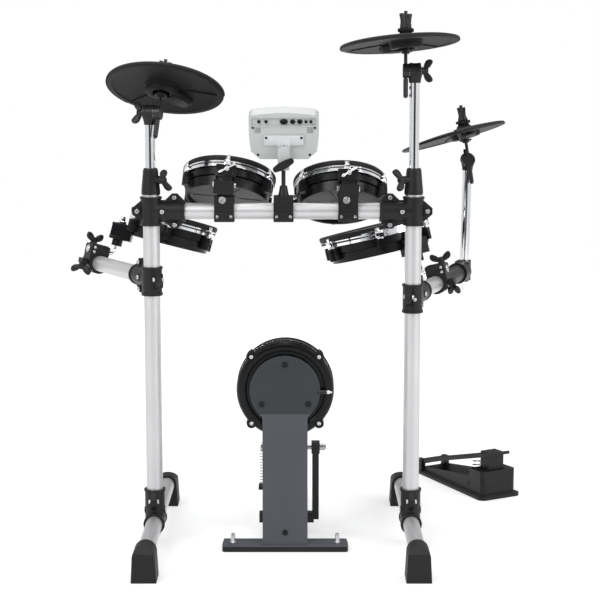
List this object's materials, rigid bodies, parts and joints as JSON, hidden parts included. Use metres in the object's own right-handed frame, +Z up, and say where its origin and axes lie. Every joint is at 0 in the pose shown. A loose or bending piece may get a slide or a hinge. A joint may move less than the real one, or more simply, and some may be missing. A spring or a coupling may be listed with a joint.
{
  "type": "electronic drum kit",
  "caption": "Electronic drum kit on an aluminium tube rack with mesh tom and snare pads, kick tower, rubber cymbals, sound module and foot pedals",
  "frame": {"origin": "on the floor under the middle of the kick tower's foot bar", "axes": "+X along the crossbar towards the ride and hi-hat side, +Y from the rack towards the player, +Z up"},
  "size_m": [1.1406, 1.0025, 1.237],
  "materials": {
    "satin_tube": "satin",
    "foot_rubber": "matte",
    "clamp_plastic": "matte",
    "bright_bolt": "satin",
    "black_steel": "satin",
    "panel_plastic": "matte",
    "silver_plastic": "satin",
    "tower_paint": "satin",
    "spring_steel": "satin",
    "bright_chrome": "polished",
    "cymbal_rubber": "matte",
    "shell_plastic": "semi gloss",
    "mesh_head": "woven"
  },
  "bodies": {
    "rack": {"post_tubes": "satin_tube", "crossbar_tube": "satin_tube", "foot_tubes": "satin_tube", "foot_caps": "foot_rubber", "corner_clamps": "clamp_plastic", "base_clamps": "clamp_plastic", "post_collars": "clamp_plastic", "rack_bolts": "bright_bolt", "crossbar_clamps": "clamp_plastic", "module_stem": "black_steel", "kick_tower": "tower_paint", "kick_foot_bar": "foot_rubber", "kick_shell": "shell_plastic", "kick_hoop": "bright_chrome", "kick_head": "mesh_head", "pedal_frame": "black_steel", "pedal_spring": "spring_steel", "hat_base": "clamp_plastic", "hat_spring": "spring_steel"},
    "crash_post": {"crash_post": "bright_chrome"},
    "crash_tilter": {"crash_rod": "black_steel"},
    "crash_cymbal": {"crash_pad": "cymbal_rubber"},
    "crash_nut": {"crash_wing_nut": "clamp_plastic"},
    "ride_post": {"ride_post": "bright_chrome"},
    "ride_tilter": {"ride_rod": "black_steel"},
    "ride_cymbal": {"ride_pad": "cymbal_rubber"},
    "ride_nut": {"ride_wing_nut": "clamp_plastic"},
    "hihat_post": {"hihat_post": "bright_chrome"},
    "hihat_tilter": {"hihat_rod": "black_steel"},
    "hihat_cymbal": {"hihat_pad": "cymbal_rubber"},
    "hihat_nut": {"hihat_wing_nut": "clamp_plastic"},
    "crash_collar_wing": {"crash_collar_wing": "clamp_plastic"},
    "ride_collar_wing": {"ride_collar_wing": "clamp_plastic"},
    "left_arm": {"left_arm_tube": "satin_tube", "left_arm_clamps": "clamp_plastic"},
    "right_arm": {"right_arm_tube": "satin_tube", "right_arm_clamps": "clamp_plastic"},
    "floor_tom_rod": {"floor_tom_rod": "bright_chrome"},
    "floor_tom": {"floor_tom_shell": "shell_plastic", "floor_tom_hoop": "bright_chrome", "floor_tom_head": "mesh_head"},
    "snare_rod": {"snare_rod": "bright_chrome"},
    "snare": {"snare_shell": "shell_plastic", "snare_hoop": "bright_chrome", "snare_head": "mesh_head"},
    "tom_1": {"tom_1_shell": "shell_plastic", "tom_1_hoop": "bright_chrome", "tom_1_head": "mesh_head"},
    "tom_2": {"tom_2_shell": "shell_plastic", "tom_2_hoop": "bright_chrome", "tom_2_head": "mesh_head"},
    "module": {"module_case": "silver_plastic", "module_panel": "panel_plastic"},
    "module_dial": {"module_dial": "panel_plastic"},
    "module_volume": {"module_volume": "panel_plastic"},
    "start_key": {"start_key": "panel_plastic"},
    "module_knob": {"module_knob": "clamp_plastic"},
    "pedal_footboard": {"pedal_footboard": "satin_tube"},
    "pedal_beater": {"pedal_beater": "spring_steel"},
    "hat_footboard": {"hat_footboard": "clamp_plastic"}
  },
  "joints": [
    {"name": "crash_height", "type": "slide", "parent": "rack", "child": "crash_post", "axis": [0, 0, 1], "range_m": [-0.04, 0.08]},
    {"name": "crash_tilt", "type": "hinge", "parent": "crash_post", "child": "crash_tilter", "pos_m": [-0.306, 0.0395, 1.009], "axis": [0.9728, -0.2317, 0], "range_deg": [-12, 30]},
    {"name": "crash_sway", "type": "hinge", "parent": "crash_tilter", "child": "crash_cymbal", "pos_m": [-0.27876, 0.06322, 1.07032], "axis": [0.9728, -0.2317, 0], "range_deg": [-4, 4]},
    {"name": "crash_nut_turn", "type": "hinge", "parent": "crash_tilter", "child": "crash_nut", "pos_m": [-0.27633, 0.07343, 1.09224], "axis": [0.1001, 0.4203, 0.9018], "continuous": true},
    {"name": "ride_height", "type": "slide", "parent": "rack", "child": "ride_post", "axis": [0, 0, 1], "range_m": [-0.06, 0.08]},
    {"name": "ride_tilt", "type": "hinge", "parent": "ride_post", "child": "ride_tilter", "pos_m": [0.294, 0.0395, 1.103], "axis": [-1, 0, 0], "range_deg": [-25, 30]},
    {"name": "ride_sway", "type": "hinge", "parent": "ride_tilter", "child": "ride_cymbal", "pos_m": [0.273, 0.04785, 1.173], "axis": [-1, 0, 0], "range_deg": [-4, 4]},
    {"name": "ride_nut_turn", "type": "hinge", "parent": "ride_tilter", "child": "ride_nut", "pos_m": [0.273, 0.05072, 1.19713], "axis": [0, 0.1184, 0.993], "continuous": true},
    {"name": "hihat_height", "type": "slide", "parent": "right_arm", "child": "hihat_post", "axis": [0.0157, 0, 0.9999], "range_m": [-0.03, 0.05]},
    {"name": "hihat_tilt", "type": "hinge", "parent": "hihat_post", "child": "hihat_tilter", "pos_m": [0.46505, 0.49713, 0.87736], "axis": [0, -1, 0], "range_deg": [-10, 20]},
    {"name": "hihat_sway", "type": "hinge", "parent": "hihat_tilter", "child": "hihat_cymbal", "pos_m": [0.45287, 0.47613, 0.9534], "axis": [0, -1, 0], "range_deg": [-4, 4]},
    {"name": "hihat_nut_turn", "type": "hinge", "parent": "hihat_tilter", "child": "hihat_nut", "pos_m": [0.44903, 0.47613, 0.97739], "axis": [-0.1582, 0, 0.9874], "continuous": true},
    {"name": "crash_collar_turn", "type": "hinge", "parent": "rack", "child": "crash_collar_wing", "pos_m": [-0.28364, 0.02384, 0.858], "axis": [0.8192, -0.5736, 0], "continuous": true},
    {"name": "ride_collar_turn", "type": "hinge", "parent": "rack", "child": "ride_collar_wing", "pos_m": [0.27164, 0.02384, 0.858], "axis": [-0.8192, -0.5736, 0], "continuous": true},
    {"name": "left_arm_swing", "type": "hinge", "parent": "rack", "child": "left_arm", "pos_m": [-0.306, 0.0395, 0.632], "axis": [0, 0, 1], "range_deg": [-4, 25]},
    {"name": "right_arm_swing", "type": "hinge", "parent": "rack", "child": "right_arm", "pos_m": [0.294, 0.0395, 0.592], "axis": [0, 0, 1], "range_deg": [-25, 4]},
    {"name": "floor_tom_tilt", "type": "hinge", "parent": "left_arm", "child": "floor_tom_rod", "pos_m": [-0.46262, 0.32782, 0.66076], "axis": [0.8304, 0.4794, -0.284], "range_deg": [-12, 12]},
    {"name": "floor_tom_turn", "type": "hinge", "parent": "floor_tom_rod", "child": "floor_tom", "pos_m": [-0.42941, 0.34699, 0.6494], "axis": [0.246, 0.142, 0.9588], "range_deg": [-20, 25]},
    {"name": "snare_tilt", "type": "hinge", "parent": "right_arm", "child": "snare_rod", "pos_m": [0.36311, 0.25059, 0.62111], "axis": [-0.9118, 0.3319, -0.2419], "range_deg": [-8, 8]},
    {"name": "snare_turn", "type": "hinge", "parent": "snare_rod", "child": "snare", "pos_m": [0.33211, 0.26188, 0.61288], "axis": [-0.2273, 0.0827, 0.9703], "range_deg": [-10, 15]},
    {"name": "tom_1_tilt", "type": "hinge", "parent": "rack", "child": "tom_1", "pos_m": [-0.138, 0.0295, 0.846], "axis": [0.995, -0.0347, -0.0941], "range_deg": [-6, 8]},
    {"name": "tom_2_tilt", "type": "hinge", "parent": "rack", "child": "tom_2", "pos_m": [0.144, 0.0295, 0.837], "axis": [0.9916, 0.12, -0.0488], "range_deg": [-6, 15]},
    {"name": "module_turn", "type": "hinge", "parent": "rack", "child": "module", "pos_m": [-0.003, 0.0275, 0.904], "axis": [0, 0, 1], "range_deg": [-25, 25]},
    {"name": "dial_turn", "type": "hinge", "parent": "module", "child": "module_dial", "pos_m": [0.018, 0.05408, 0.97569], "axis": [0, 0.9135, 0.4067], "continuous": true},
    {"name": "volume_turn", "type": "hinge", "parent": "module", "child": "module_volume", "pos_m": [-0.016, 0.05408, 0.97569], "axis": [0, 0.9135, 0.4067], "range_deg": [-150, 150]},
    {"name": "start_press", "type": "slide", "parent": "module", "child": "start_key", "axis": [0, 0.9135, 0.4067], "range_m": [-0.0015, 0], "stiffness_N_per_m": 400, "springref_m": 0.002},
    {"name": "module_knob_turn", "type": "hinge", "parent": "module", "child": "module_knob", "pos_m": [-0.003, 0.0275, 0.892], "axis": [0, 1, 0], "continuous": true},
    {"name": "pedal_press", "type": "hinge", "parent": "rack", "child": "pedal_footboard", "pos_m": [0.002, 0.4365, 0.026], "axis": [1, 0, 0], "range_deg": [0, 4.2], "stiffness_Nm_per_rad": 60, "springref_deg": -3.44},
    {"name": "beater_swing", "type": "hinge", "parent": "rack", "child": "pedal_beater", "pos_m": [0.002, 0.1545, 0.205], "axis": [1, 0, 0], "range_deg": [0, 46], "deforming": ["pedal_spring"]},
    {"name": "hat_press", "type": "hinge", "parent": "rack", "child": "hat_footboard", "pos_m": [0.40535, 0.7105, 0.034], "axis": [0.8746, 0.4848, 0], "range_deg": [0, 4.2], "stiffness_Nm_per_rad": 60, "springref_deg": -3.44, "deforming": ["hat_spring"]}
  ],
  "couplings": [
    {"joint": "beater_swing", "follows": "pedal_press", "ratio": 10.4}
  ]
}
